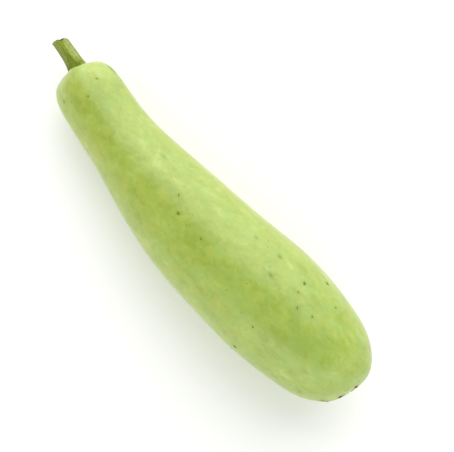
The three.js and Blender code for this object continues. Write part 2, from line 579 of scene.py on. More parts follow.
class MarkKind(Enum):
    """The healed marks of a skin, each with a scab's half length, half width and height."""

    PRICK = (0.40, 0.36, 0.10)
    DOT = (0.75, 0.62, 0.14)
    SPOT = (1.40, 1.00, 0.18)
    DASH = (1.25, 0.45, 0.12)
    CRUST = (1.90, 1.20, 0.40)


@dataclass(frozen=True)
class Mark:
    """A healed mark: its place on the skin, its kind, its lean from the fruit's length and its age.

    An age of 1 is a black crust, 0 an olive scab and -1 a pale flake.
    """

    reach: float
    angle: float
    kind: MarkKind
    lean: float = 0.0
    age: float = 0.0


# The marks that the photograph shows, and one more crust on the far side of the scar.
SEEN_MARKS = (
    Mark(40.5, 69.5, MarkKind.DASH, -49),
    Mark(50.2, 97.5, MarkKind.DOT),
    Mark(157.8, 83.5, MarkKind.DASH, 41),
    Mark(168.3, 97, MarkKind.SPOT, 10),
    Mark(193.4, 98.5, MarkKind.DOT, -49),
    Mark(268.4, 60, MarkKind.SPOT, 41),
    Mark(278.6, 34.5, MarkKind.SPOT, 0),
    Mark(270.1, 71.5, MarkKind.DOT, 20),
    Mark(277.4, 83, MarkKind.DASH, 41),
    Mark(295.3, 49.5, MarkKind.DOT, -49),
    Mark(289.0, 78, MarkKind.DOT, 0),
    Mark(264.0, 125, MarkKind.DOT, 20),
    Mark(262.2, 164, MarkKind.SPOT, 20),
    Mark(354.3, 147, MarkKind.CRUST, 85, 1.0),
    Mark(356.2, 136, MarkKind.DOT, 60, 0.9),
    Mark(360.2, 62, MarkKind.CRUST, 100, 0.5),
    Mark(357.4, 73, MarkKind.SPOT, 60, 0.7),
    Mark(353.6, 85, MarkKind.DOT, 20, -1.0),
    Mark(356.0, 66, MarkKind.DASH, 70, -1.0),
    Mark(352.6, 74, MarkKind.PRICK, 0, -1.0),
    Mark(342.6, 171, MarkKind.DASH, 90, 0.6),
    Mark(346.5, 186, MarkKind.SPOT, 85, 0.5),
    Mark(358.2, 280, MarkKind.CRUST, 90, 0.9),
)

# Small soft smudges of bruising that the photograph shows, from 0 to 1 in depth. The three on the
# lower edge by the blossom end, at 170 to 183 degrees, are painted shade where the fruit turns under.
SMUDGES_AND_EDGE_SHADE = (
    Patch(39.5, 145, 1.7, 1.3, 0.8),
    Patch(33, 24, 6, 2.8, 0.9),
    Patch(221, 58, 1.7, 1.4, 0.6),
    Patch(243, 57.5, 1.8, 1.5, 0.75),
    Patch(248, 78.5, 2.6, 1.5, 0.8),
    Patch(125, 63.5, 3.5, 1.4, 0.4),
    Patch(139, 65.5, 2.5, 1.4, 0.35),
    Patch(314.5, 124, 3.0, 1.5, 0.25),
    Patch(322, 157.5, 2.0, 2.6, 0.4),
    # These three are painted shade where the fruit turns under at its lower edge.
    Patch(342, 170, 2.4, 3.6, 0.75),
    Patch(346, 176, 2.4, 3.6, 0.75),
    Patch(349.5, 183, 2.4, 3.6, 0.75),
    Patch(354.5, 147, 2.4, 4.0, 0.5),
    Patch(351.4, 106, 2.0, 4.0, 0.35),
    Patch(359, 66, 1.8, 3.5, 0.5),
)

# Broad patches darker than the skin round them, with a depth over 0, and paler ones under 0.
# Some are the skin's own olive and pale streaks, and some are painted light and shade: a painted
# highlight on the shoulder by the stem, and painted shade below it, along the edge of the lit side
# near the top, down the shaded side and in a band above the pale rim low on the shaded side by the
# blossom end.
TONE_AND_SHADE_PATCHES = (
    Patch(28, 84, 12, 22, -0.6),
    Patch(55, 86, 14, 18, 0.4),
    Patch(58, 145, 18, 9, 0.25),
    Patch(58, 8, 14, 8, 0.4),
    Patch(85, 97, 30, 6, 0.2),
    Patch(85, 8, 50, 8, 0.25),
    Patch(95, 40, 25, 7, -0.25),
    Patch(120, 138, 60, 12, 0.15),
    Patch(125, 76, 80, 3, -0.25),
    Patch(125, 87, 95, 5, 0.35),
    Patch(130, 15, 110, 12, -0.35),
    Patch(185, 40, 35, 6, -0.3),
    Patch(190, 98, 80, 11, 0.28),
    Patch(190, 63, 12, 3, -0.5),
    Patch(222, 52, 12, 10, -0.3),
    Patch(224, 107, 18, 9, 0.25),
    Patch(248, 28, 14, 10, 0.3),
    Patch(256, 70, 22, 17, 0.38),
    Patch(285, 110, 27, 14, 0.5),
    Patch(304, 88, 10, 9, 0.5),
    Patch(318, 166, 40, 7, 0.7),
    Patch(325, 12, 30, 9, 0.3),
    Patch(330, 80, 12, 14, -0.3),
    Patch(334, 124, 9, 9, 0.25),
)

# Broad patches yellower than the skin round them, with a depth over 0, and bluer ones under 0.
HUES = (
    Patch(175, 30, 150, 12, 0.7),
    Patch(150, 64, 95, 11, -0.6),
    Patch(85, 136, 80, 16, 0.6),
    Patch(224, 107, 18, 10, -0.5),
    Patch(315, 108, 65, 45, -0.7),
)


@dataclass
class Fruit:
    """The fruit: its form, its skin and what has healed on it. Sizes are in millimetres."""

    outline: Array = field(
        default_factory=lambda: np.array(
            [
                (0, 0),
                (0, 5),
                (-0.5, 9),
                (-4.8, 15),
                (4, 26.4),
                (30, 27),
                (62, 27),
                (100, 34),
                (144, 40.4),
                (189, 42.1),
                (234, 46.6),
                (274, 40.8),
                (300, 35),
                (317.5, 20),
                (320, 9),
                (320.5, 6),
                (319, 4),
                (319, 0),
            ],
            float,
        )
    )
    length: float = 320
    # How far aside the axis bows, by control points evenly along it.
    bow: tuple[float, ...] = (0, -4, -9, -12, -13, -7, -3, -2, -4)
    # The broad forms of the skin: lobes, folds round the stem's foot, and slow swells.
    lobes: int = 5
    lobe_crest: float = math.radians(100)
    lobe_at_neck: float = 0.4
    lobe_at_belly: float = 0.25
    lobe_fade: float = 120
    puckers: int = 10
    pucker_height: float = 0.35
    pucker_radius: float = 13.5
    pucker_spread: float = 5
    pucker_reach: float = 8
    swell_height: float = 0.25
    short_swell: float = 23
    short_swell_turns: int = 2
    long_swell: float = 41
    long_swell_turns: int = 3
    smooth_radius: float = 24
    # The fine forms: veins down the neck, dents and ripples.
    vein_height: float = 0.07
    vein_fade: float = 70
    vein_wander: float = 15
    dent_depth: float = 0.10
    dent_size: float = 17
    dent_seed: int = 3
    ripple_depth: float = 0.035
    ripple_size: float = 5
    ripple_seed: int = 4
    # The blossom scar's rim, and the nub at its middle.
    scar_radius: float = 6
    scar_rim: float = 2
    scar_fold: float = 0.12
    scar_folds: int = 13
    fold_wander: float = 2
    fold_size: float = 3
    fold_seed: int = 5
    nub_height: float = 0.8
    nub_radius: float = 1.6
    # Its dry skin. The edge is frayed by noises, each of a height, a size and a seed.
    scar_edge: float = 6.8
    edge_softness: float = 2.2
    edge_frays: tuple[tuple[float, float, int], ...] = ((0.7, 3.5, 6), (0.4, 1.5, 7))
    scar_ring_share: float = 0.15
    scar_ring_wave: float = 2.4
    # The bruise round a healed mark: how deep, and how wide in half lengths of the mark.
    mark_bruise: float = 0.3
    mark_bruise_spread: float = 1.5
    # How it lies, and the flat spot that it rests on.
    belly_tilt: float = math.radians(3.8)
    flat_depth: float = 0.8
    flat_softness: float = 0.3
    # The skin's mesh: how many rings run up to a share of the outline, and the sides of a ring.
    ring_stretches: tuple[tuple[float, int], ...] = ((0.25, 110), (0.75, 196), (1.0, 104))
    sides: int = 216
    finish: PeelFinish = PeelFinish()

    def __post_init__(self) -> None:
        """Works out reaches over the skin, and where the turned fruit lies in the frame.

        Its middle lies over the middle of the solid's box, and its belly is lowered by the depth of
        the flat spot.
        """
        samples = 4000
        shares = np.linspace(0, 1, samples)
        steps = np.diff(smooth_curve(self.outline, shares), axis=0)
        walked = np.concatenate([[0], np.hypot(steps[:, 0], steps[:, 1]).cumsum()])
        self.reach_table = (shares, walked)
        self.shift = np.zeros(3)
        skin = self.lay(self.level_skin(*self.grid()))
        low, high = skin.min(axis=(0, 1)), skin.max(axis=(0, 1))
        cad_low, cad_high = (np.array(corner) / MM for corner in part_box("fruit"))
        self.shift = (cad_low + cad_high - low - high) / 2
        self.shift[2] = -low[2] - self.flat_depth

    def grid(self) -> tuple[Array, Array]:
        """The places of the skin's points.

        Returns:
            The rings' shares of the outline, closer at its ends, and the angles round it.
        """
        shares, start = [np.zeros(1)], 0.0
        for end, rings in self.ring_stretches:
            shares.append(np.linspace(start, end, rings + 1)[1:])
            start = end
        angles = np.linspace(0, FULL_TURN, self.sides, endpoint=False)
        return np.concatenate(shares)[:, None], angles[None]

    def reach(self, share: Array) -> Array:
        """How far over the skin shares of the outline are from the stem's middle."""
        return np.interp(share, *self.reach_table)

    def share_at(self, reach: Array) -> Array:
        """The shares of the outline at reaches over the skin."""
        shares, walked = self.reach_table
        return np.interp(reach, walked, shares)

    def unbent(self, share: Array, angle: Array) -> Array:
        """The skin's places before its axis bows.

        Args:
            share: Shares of the outline.
            angle: Angles round the axis.

        Returns:
            The places: the distance along the axis, and the radius times the cosine and the sine.
        """
        along, radius = np.moveaxis(smooth_curve(self.outline, share), -1, 0)
        across = radius * np.cos(angle)
        return np.stack([along + 0 * across, across, radius * np.sin(angle)], axis=-1)

    def axis(self, along: Array) -> tuple[Array, Array]:
        """The bowed axis.

        Args:
            along: Distances along it.

        Returns:
            How far aside it is there, and its heading, from the places a millimetre to each side.
        """
        bow = np.array(self.bow)[:, None]
        place = np.clip(along, 0, self.length)
        before, after = np.maximum(place - 1, 0), np.minimum(place + 1, self.length)
        aside = [smooth_curve(bow, at / self.length)[..., 0] for at in (before, place, after)]
        return aside[1], np.arctan2(aside[2] - aside[0], after - before)

    def relief(self, share: Array, angle: Array) -> Array:
        """The skin's relief over its plain outline.

        Five broad lobes are strongest at the neck, two slow waves wind round the fruit, ten short
        folds run out from the stem's foot and ten faint veins down the neck. Soft random dents and
        ripples lie over them. At the blossom end the scar's rim is folded round a central nub.

        Args:
            share: Shares of the outline.
            angle: Angles round the axis.

        Returns:
            How far the skin stands out.
        """
        along, radius = np.moveaxis(smooth_curve(self.outline, share), -1, 0)
        place = self.unbent(share, angle)
        neck = bell(along, self.lobe_fade)
        lobe = self.lobe_at_belly + (self.lobe_at_neck - self.lobe_at_belly) * neck
        broad = lobe * np.cos(self.lobes * (angle - self.lobe_crest))
        short = np.sin(along / self.short_swell + self.short_swell_turns * angle)
        long = np.sin(along / self.long_swell - self.long_swell_turns * angle)
        broad = broad + self.swell_height * short
        broad = broad + self.swell_height * long
        wander = np.sin(along / self.vein_wander)
        veins = np.cos(self.puckers * (angle - self.lobe_crest) + wander)
        broad = broad + self.vein_height * bell(along, self.vein_fade) * veins
        broad = broad + self.dent_depth * smooth_noise(place, self.dent_size, self.dent_seed)
        broad = broad + self.ripple_depth * smooth_noise(place, self.ripple_size, self.ripple_seed)
        shoulder = bell(radius - self.pucker_radius, self.pucker_spread)
        shoulder = shoulder * bell(along, self.pucker_reach)
        folds = self.pucker_height * shoulder * np.cos(self.puckers * (angle - self.lobe_crest))
        rim = bell(radius - self.scar_radius, self.scar_rim)
        wander = self.fold_wander * smooth_noise(place, self.fold_size, self.fold_seed)
        wrinkles = np.cos(self.scar_folds * angle + wander)
        scar = self.scar_fold * rim * wrinkles + self.nub_height * bell(radius, self.nub_radius)
        full = np.clip(radius / self.smooth_radius, 0, 1)
        return full * full * (3 - 2 * full) * broad + folds + self.is_blossom_half(share) * scar

    def is_blossom_half(self, share: Array) -> Array:
        """Whether shares of the outline are in its half towards the blossom end."""
        return share > 0.5

    def level_skin(self, share: Array, angle: Array) -> Array:
        """Points of the skin on its level axis.

        The outline's radius and its place along the axis are raised by the relief, square to the
        outline. The ring is then turned to the axis's heading and set aside by its bow.

        Args:
            share: Shares of the outline.
            angle: Angles round the axis.

        Returns:
            The points.
        """
        along, radius = np.moveaxis(smooth_curve(self.outline, share), -1, 0)
        ends = [smooth_curve(self.outline, share + step) for step in (-SHARE_STEP, SHARE_STEP)]
        slope = unit(ends[1] - ends[0])
        raised = self.relief(share, angle)
        outwards = radius + slope[..., 0] * raised
        aside, heading = self.axis(along)
        across = outwards * np.cos(angle)
        x = along - slope[..., 1] * raised - across * np.sin(heading)
        y = aside + across * np.cos(heading)
        return np.stack([x, y, outwards * np.sin(angle)], axis=-1)

    def lay(self, points: Array) -> Array:
        """Turns points so that the belly is level, and moves them to where the gourd lies.

        Args:
            points: Points on the fruit's level axis.

        Returns:
            The points as the gourd lies.
        """
        x, y, z = np.moveaxis(points, -1, 0)
        cos, sin = math.cos(self.belly_tilt), math.sin(self.belly_tilt)
        return np.stack([x * cos - z * sin, y, x * sin + z * cos], axis=-1) + self.shift

    def skin(self, share: Array, angle: Array) -> Array:
        """Points of the skin as the gourd lies, pressed flat where it rests.

        Near the surface the height eases into a flat: within a small softness s of it, a height h
        becomes (h + s)^2 / 4s, and it is 0 below that.

        Args:
            share: Shares of the outline.
            angle: Angles round the axis.

        Returns:
            The points.
        """
        points = self.lay(self.level_skin(share, angle))
        height, soft = points[..., 2], self.flat_softness
        eased = np.clip(height + soft, 0, 2 * soft) ** 2 / (4 * soft)
        points[..., 2] = np.where(height > soft, height, eased)
        return points

    def stand(self, reach: Array, angle: Array) -> tuple[Array, Array]:
        """The skin's points at some places, and the axes there.

        Args:
            reach: How far over the skin the places are from the stem.
            angle: Their angles round the axis.

        Returns:
            The points, and at each the directions along the fruit, round it and outwards.
        """
        share = self.share_at(reach)
        points = self.skin(share, angle)
        along = unit(self.skin(self.share_at(reach + REACH_STEP), angle) - points)
        round_it = unit(self.skin(share, angle + ANGLE_STEP) - points)
        outwards = unit(np.cross(along, round_it))
        return points, np.stack([along, np.cross(outwards, along), outwards], axis=-2)

    def spread(
        self, share: Array, angle: Array, at_reach: float, at_angle: float
    ) -> tuple[Array, Array]:
        """How far places on the skin are from one place.

        Args:
            share: Shares of the outline.
            angle: Angles round the axis.
            at_reach: The one place's reach over the skin.
            at_angle: Its angle, in degrees.

        Returns:
            The distances along the fruit and round it.
        """
        radius = smooth_curve(self.outline, share)[..., 1]
        turn = (angle - math.radians(at_angle) + math.pi) % FULL_TURN - math.pi
        return self.reach(share) - at_reach, radius * turn

    def patched(self, patches: tuple[Patch, ...], share: Array, angle: Array) -> Array:
        """How much some patches change the skin.

        Args:
            patches: The patches.
            share: Shares of the outline.
            angle: Angles round the axis.

        Returns:
            The sum of a bell over each patch's length and width, times its depth.
        """
        total = np.zeros(np.broadcast(share, angle).shape)
        for patch in patches:
            along, round_it = self.spread(share, angle, patch.reach, patch.angle)
            total += patch.depth * bell(along, patch.length) * bell(round_it, patch.width)
        return total

    def bruises_and_edge_shade(self, share: Array, angle: Array) -> Array:
        """How bruised the skin is, with the painted shade on the lower edge by the blossom end.

        Args:
            share: Shares of the outline.
            angle: Angles round the axis.

        Returns:
            The sum of a bell over each smudge and one round each seen mark, 1 at most.
        """
        total = self.patched(SMUDGES_AND_EDGE_SHADE, share, angle)
        for mark in SEEN_MARKS:
            along, round_it = self.spread(share, angle, mark.reach, mark.angle)
            width = self.mark_bruise_spread * mark.kind.value[0]
            total += self.mark_bruise * bell(np.hypot(along, round_it), width)
        return np.minimum(total, 1)

    def scar(self, share: Array, angle: Array) -> Array:
        """How dry the skin is on the blossom scar.

        Args:
            share: Shares of the outline.
            angle: Angles round the axis.

        Returns:
            Near 1 inside a soft edge that two noises fray, in faint rings, and 0 outside it.
        """
        place = self.unbent(share, angle)
        ragged = smooth_curve(self.outline, share)[..., 1]
        for height, size, seed in self.edge_frays:
            ragged = ragged + height * smooth_noise(place, size, seed)
        edge = np.clip((self.scar_edge - ragged) / self.edge_softness, 0, 1)
        rings = 1 - self.scar_ring_share * (1 - np.cos(self.scar_ring_wave * ragged))
        return np.where(self.is_blossom_half(share), edge * rings, 0)

    def build(self) -> None:
        """Makes the skin, which stands for the fruit's solid."""
        share, angle = self.grid()
        points, faces = closed_rings(self.skin(share, angle))
        attributes = {
            "unbent": ring_values(self.unbent(share, angle)) * MM,
            # Colour patches, partly painted shade and painted highlight.
            "tone_and_shade": ring_values(self.patched(TONE_AND_SHADE_PATCHES, share, angle)),
            "warmth": ring_values(self.patched(HUES, share, angle)),
            # Bruising, and the painted shade on the lower edge by the blossom end.
            "bruise_and_edge_shade": ring_values(self.bruises_and_edge_shade(share, angle)),
            "scar": ring_values(self.scar(share, angle)),
        }
        piece = make_piece("peel", points, faces, self.finish.material(), attributes)
        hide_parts("fruit")


@dataclass
class Scabs:
    """The scabs of the healed marks: those seen, and tiny ones all over. Sizes in millimetres."""

    fruit: Fruit
    pricks: int = 44
    first_reach: float = 34
    last_reach: float = 345
    seed: int = 11
    rings: int = 9
    sides: int = 18
    sunk: float = 0.35
    # The waves of a scab's outline: how many, how strong, and how far they turn from scab to scab.
    bumps: tuple[tuple[int, float, float], ...] = ((3, 0.10, 1.0), (5, 0.09, 2.3))
    finish: ScabFinish = ScabFinish()

    def marks(self) -> list[Mark]:
        """The seen marks, and random pricks at even odds over the fruit's length.

        Returns:
            The marks.
        """
        draw = np.random.default_rng(self.seed)
        lowest, highest = (self.first_reach, 0, 0), (self.last_reach, 360, 180)
        places = draw.uniform(lowest, highest, (self.pricks, 3))
        return [*SEEN_MARKS, *(Mark(a, b, MarkKind.PRICK, c) for a, b, c in places.tolist())]

    def ball(self, number: int, size: Array) -> Array:
        """A scab's squashed ball.

        Args:
            number: The scab's number, which turns its bumps.
            size: Its half length, half width and height.

        Returns:
            Points as rings and sides along its lean, across it and outwards: a ball times the
            sizes, sunk by a share of its height. Waves round it bend its outline in and out.
        """
        down = np.linspace(0, math.pi, self.rings)[:, None]
        turn = np.linspace(0, FULL_TURN, self.sides, endpoint=False)[None]
        height = -np.cos(down) + 0 * turn
        ball = np.stack([np.sin(down) * np.cos(turn), np.sin(down) * np.sin(turn), height], axis=-1)
        bumps = sum(
            share * np.sin(waves * turn + shift * number) for waves, share, shift in self.bumps
        )
        wave = 1 + bumps * np.sin(down)
        ball = ball * size * np.stack([wave, wave, wave**0], axis=-1)
        ball[..., 2] -= self.sunk * size[2]
        return ball

    def build(self) -> None:
        """Makes all the scabs as one piece, each a squashed ball turned by its mark's lean."""
        marks = self.marks()
        reach, angle, lean = (
            np.array([getattr(mark, key) for mark in marks]) for key in ("reach", "angle", "lean")
        )
        sizes = np.array([mark.kind.value for mark in marks])
        middle, axes = self.fruit.stand(reach, np.radians(angle))
        cos, sin = np.cos(np.radians(lean))[:, None], np.sin(np.radians(lean))[:, None]
        ahead = axes[:, 0] * cos + axes[:, 1] * sin
        across = axes[:, 1] * cos - axes[:, 0] * sin
        total_points, total_faces, ages, count = [], [], [], 0
        for number, size in enumerate(sizes):
            own_axes = np.stack([ahead[number], across[number], axes[number, 2]])
            points, faces = closed_rings(middle[number] + self.ball(number, size) @ own_axes)
            total_points.append(points)
            total_faces += [[corner + count for corner in face] for face in faces]
            ages.append(np.full(len(points), marks[number].age))
            count += len(points)
        material = self.finish.material()
        ages = {"age": np.concatenate(ages)}
        make_piece("scabs", np.concatenate(total_points), total_faces, material, ages)


@dataclass(frozen=True)
class Facing:
    """A stripe along the stalk: its middle and its half width, in degrees round it."""

    middle: float
    width: float


@dataclass
class Stalk:
    """The cut stub of the stalk. Sizes are in millimetres from the floor of the dimple."""

    fruit: Fruit
    length: float = 33.8
    root: float = 4
    foot_aside: float = 1.5
    tip_aside: float = -1.2
    rise: float = 3
    tip_radius: float = 6
    taper: float = 0.3
    flare: float = 4.2
    flare_height: float = 6
    # Its ribs and fibres. A wave is the height over which their wandering turns by a radian.
    ribs: int = 5
    rib_height: float = 0.45
    rib_crest: float = math.radians(60)
    fine_rib_height: float = 0.10
    fine_rib_wander: float = 0.6
    fine_rib_wave: float = 9
    fibre_height: float = 0.045
    fibres: int = 37
    fibre_wander: float = 1.3
    fibre_wave: float = 6
    broad_fibres: int = 23
    broad_fibre_wave: float = 8
    # The cut's face: a hollow dish of rough pith inside a wavy lip.
    cut_slant: float = math.radians(20)
    cut_dish: float = 0.9
    pith_height: float = 0.35
    pith_size: float = 1.1
    pith_seed: int = 8
    lip_height: float = 0.25
    lip_share: float = 0.03
    lip_waves: int = 9
    rings: int = 170
    cut_rings: int = 34
    sides: int = 180
    # Its painted highlight and painted shade, and where it isn't dull.
    ridge: Facing = Facing(110, 27)
    painted_ridge_highlight: float = 0.9
    painted_rib_shading: float = 0.15
    painted_groove_shade: Facing = Facing(75, 22)
    flame_dark: float = 1.4
    flame_end_dark: float = 0.3
    flame_height: float = 12
    flame_fade: float = 9
    painted_foot_shadow: float = 1.1
    foot_height: float = 8
    foot_fade: float = 4
    bright_top: Facing = Facing(93, 46)
    fresh_foot: float = 0.7
    fresh_height: float = 6
    fresh_fade: float = 6
    # How dry its cut is. A share is one of the stalk's length, a ring or width one of its radius.
    rim_dry: float = 0.75
    rim_share: float = 0.012
    side_dry: float = 0.35
    dry_side: Facing = Facing(150, 60)
    dry_spot: Facing = Facing(100, 16)
    spot_share: float = 0.05
    face_dry: float = 0.2
    bundle_dry: float = 0.45
    bundle_ring: float = 0.68
    bundle_width: float = 0.1
    hollow_dry: float = 0.5
    hollow_width: float = 0.22
    # How much a fibre's streaks are drawn out along it.
    fibre_length: float = 0.06
    finish: StalkFinish = StalkFinish()

    def centre_line(self, share: Array) -> tuple[Array, Array]:
        """The stalk's centre line and its heading on the fruit's level axis.

        A quadratic curve runs from the root in the fruit through a middle point to the cut end.

        Args:
            share: Shares of the line, from the root to the cut.

        Returns:
            The points and the headings.
        """
        aside, heading = self.fruit.axis(np.zeros(()))
        outwards = np.array([-math.cos(heading), -math.sin(heading), 0])
        sideways = np.array([-math.sin(heading), math.cos(heading), 0])
        floor = np.array([self.fruit.outline[0, 0], float(aside), 0])
        root = floor - self.root * outwards + self.foot_aside * sideways
        middle = floor + self.length / 2 * outwards + self.foot_aside * sideways
        tip = floor + self.length * outwards + self.tip_aside * sideways + [0, 0, self.rise]
        t = share[..., None]
        place = (1 - t) ** 2 * root + 2 * t * (1 - t) * middle + t**2 * tip
        return place, unit((1 - t) * (middle - root) + t * (tip - middle))

    def rib(self, angle: Array) -> Array:
        """The ribs' wave, from -1 in a groove to 1 on a crest."""
        return np.cos(self.ribs * (angle - self.rib_crest))

    def on_stripe(self, angle: Array, stripe: Facing) -> Array:
        """A bell round the stalk over a stripe's middle and width."""
        turn = (np.degrees(angle) - stripe.middle + 180) % 360 - 180
        return bell(turn, stripe.width)

    def fading(self, height: Array, start: float, fade: float) -> Array:
        """1 up to a height, and half a bell above it."""
        return bell(np.maximum(height - start, 0), fade)

    def light(self, height: Array, angle: Array) -> Array:
        """How pale the stalk's skin is, most of it painted light and shade.

        The ribs are painted a little paler than the grooves, as painted shade in the grooves. A
        painted highlight runs up the lit ridge near the top, the painted shade of a groove rises deep
        green from the foot beside it, and the foot itself is darkened as a painted shadow of the
        fruit's shoulder.

        Args:
            height: Heights over the dimple's floor.
            angle: Angles round the stalk.

        Returns:
            The lightness, 0 on plain green skin.
        """
        # The stripe rising from the foot is a groove's painted shade, the ridge's paleness a painted
        # highlight and the foot's darkening a painted shadow of the fruit's shoulder.
        rising = self.fading(height, self.flame_height, self.flame_fade)
        painted_groove_shade = self.flame_end_dark + self.flame_dark * rising
        ridge = self.painted_ridge_highlight * self.on_stripe(angle, self.ridge)
        foot = self.painted_foot_shadow * self.fading(height, self.foot_height, self.foot_fade)
        light = self.painted_rib_shading * self.rib(angle) + ridge
        return light - painted_groove_shade * self.on_stripe(angle, self.painted_groove_shade) - foot

    def dullness(self, height: Array, angle: Array) -> Array:
        """How grey the stalk's skin is: more on its sides and below, and little at its foot.

        Args:
            height: Heights over the dimple's floor.
            angle: Angles round the stalk.

        Returns:
            The dullness, from 0 to 1.
        """
        foot = self.fading(height, self.fresh_height, self.fresh_fade)
        return (1 - self.on_stripe(angle, self.bright_top)) * (1 - self.fresh_foot * foot)

    def dryness(self, share: Array, closing: Array, angle: Array) -> Array:
        """How dried the stalk is at its cut.

        The cut's rim has dried, more on one side, and so has one spot of it. High powers of the
        closing share keep both to the rim. The face is a little dry, more in its hollow middle and
        in a ring of bundles, two for every rib.

        Args:
            share: Shares of the centre line, from the root to the cut.
            closing: Shares of the radius, under 1 on the cut's face.
            angle: Angles round the stalk.

        Returns:
            The dryness, 0 on fresh skin and over 1 where it is black.
        """
        from_cut = share - 1
        side = self.side_dry * self.on_stripe(angle, self.dry_side)
        rim = self.rim_dry * closing**10 + side * closing**4
        ring = self.bundle_dry * bell(closing - self.bundle_ring, self.bundle_width)
        bundles = ring * np.maximum(np.cos(2 * self.ribs * angle), 0)
        hollow = self.hollow_dry * bell(closing, self.hollow_width)
        spot = self.on_stripe(angle, self.dry_spot) * bell(from_cut, self.spot_share) * closing**2
        face = self.is_on_cut(share, closing) * (self.face_dry + bundles + hollow)
        return bell(from_cut, self.rim_share) * rim + face + spot

    def is_on_cut(self, share: Array, closing: Array) -> Array:
        """Whether places are on the cut's face."""
        return (share == 1) & (closing < 1)

    def height(self, share: Array) -> Array:
        """Heights over the dimple's floor of shares of the centre line."""
        return share * (self.length + self.root) - self.root

    def radius(self, height: Array, angle: Array) -> Array:
        """The stalk's radius at heights over the dimple's floor.

        It tapers evenly and flares at its foot. Ribs, finer ribs between them and thin fibres run
        along it, each a cosine wave round it, and the fibres wander a little with the height.

        Args:
            height: Heights over the dimple's floor.
            angle: Angles round the stalk.

        Returns:
            The radius.
        """
        above = np.maximum(height, 0)
        flare = self.flare * np.exp(-above / self.flare_height)
        rib = self.rib_height * self.rib(angle)
        fine_wander = self.fine_rib_wander * np.sin(above / self.fine_rib_wave)
        fine = self.fine_rib_height * np.cos(3 * self.ribs * angle + fine_wander)
        fibre_wander = self.fibre_wander * np.sin(above / self.fibre_wave)
        fibre = self.fibre_height * np.cos(self.fibres * angle + fibre_wander)
        broad = np.sin(self.broad_fibres * angle - above / self.broad_fibre_wave)
        fibre = fibre + self.fibre_height * broad
        taper = self.taper * (1 - above / self.length)
        return self.tip_radius + taper + rib + fine + fibre + flare * (1 + rib)

    def surface(self, share: Array, closing: Array, angle: Array) -> Array:
        """Points of the stalk as the gourd lies.

        Args:
            share: Shares of the centre line, from the root to the cut.
            closing: Shares of the radius, under 1 where the rings close an end.
            angle: Angles round the stalk.

        Returns:
            The points: the centre line, plus the closing radius by cosine and sine, plus the slant
            of the cut, which grows towards the tip, less the dish of the cut's face. The face has
            a rough pith, and its rim a wavy lip.
        """
        centre, heading = self.centre_line(share)
        side = unit(np.cross([0, 0, 1], heading))
        up = np.cross(heading, side)
        radius = closing * self.radius(self.height(share), angle)
        across, over = radius * np.cos(angle), radius * np.sin(angle)
        dish = self.cut_dish * (1 - closing**2) * (share == 1)
        flat = np.stack([across, over, 0 * over], axis=-1)
        pith = self.pith_height * (share == 1) * smooth_noise(flat, self.pith_size, self.pith_seed)
        waves = np.cos(self.lip_waves * angle + 1)
        lip = self.lip_height * bell(share - 1, self.lip_share) * waves * closing
        ahead = share * across * math.tan(self.cut_slant) - dish + pith * (1 - closing**6) + lip
        parts = (side * across[..., None], up * over[..., None], heading * ahead[..., None])
        return self.fruit.lay(centre + sum(parts))

    def grid(self) -> tuple[Array, Array, Array]:
        """The places of the stalk's points.

        Returns:
            The shares of the centre line, the closing shares of the radius, and the angles.
        """
        along = np.linspace(0, 1, self.rings)
        face = np.linspace(1, 0, self.cut_rings + 1)[1:]
        share = np.concatenate([[0], along, np.ones(self.cut_rings)])
        closing = np.concatenate([[0], np.ones(self.rings), face])
        angles = np.linspace(0, FULL_TURN, self.sides, endpoint=False)
        return share[:, None], closing[:, None], angles[None]

    def build(self) -> None:
        """Makes the stalk, which stands for the stem's solid."""
        share, closing, angle = self.grid()
        points, faces = closed_rings(self.surface(share, closing, angle))
        height = self.height(share)
        radius = closing * self.radius(height, angle)
        everywhere = 0 * radius
        along = self.fibre_length * height + everywhere
        fibre = np.stack([along, radius * np.cos(angle), radius * np.sin(angle)], axis=-1)
        attributes = {
            "fibre": ring_values(fibre) * MM,
            # Painted light and shade of the stalk.
            "light": ring_values(self.light(height, angle) + everywhere),
            "dull": ring_values(self.dullness(height, angle) + everywhere),
            "cut": ring_values(self.is_on_cut(share, closing) + everywhere),
            "dried": ring_values(self.dryness(share, closing, angle)),
        }
        piece = make_piece("stalk", points, faces, self.finish.material(), attributes)
        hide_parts("stem")


